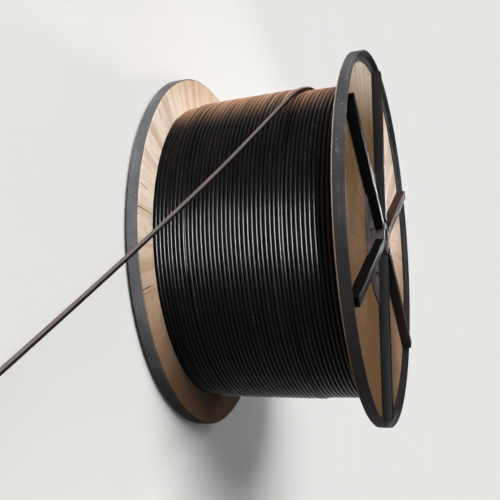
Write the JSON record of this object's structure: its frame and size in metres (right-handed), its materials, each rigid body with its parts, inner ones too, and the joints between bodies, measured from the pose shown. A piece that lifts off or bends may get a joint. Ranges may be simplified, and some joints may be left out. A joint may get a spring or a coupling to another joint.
{
  "type": "cable drum",
  "caption": "Large steel and timber cable drum, full of black cable, with one taut run leaving it.",
  "frame": {"origin": "on the floor, under the drum's axis", "axes": "+Z along the drum's axis, away from the flange it stands on; -Y the way the cable leaves"},
  "size_m": [1.9998, 3.6571, 1.086],
  "materials": {
    "hoop_steel": "scuffed",
    "timber": "rough sawn",
    "plate_steel": "weathered",
    "spoke_steel": "weathered",
    "cable_sheath": "satin",
    "eye_steel": "plain"
  },
  "bodies": {
    "root": {"lower_rim_hoop": "hoop_steel", "upper_rim_hoop": "hoop_steel", "lower_flange_boards": "timber", "upper_flange_boards": "timber", "lower_hub_plate": "plate_steel", "upper_hub_plate": "plate_steel", "lower_hub_bush": "plate_steel", "upper_hub_bush": "plate_steel", "lower_spokes": "spoke_steel", "upper_spokes": "spoke_steel", "barrel": "plate_steel", "cable_winding": "cable_sheath", "cable_run": "cable_sheath", "pulling_eye": "eye_steel"}
  },
  "joints": []
}
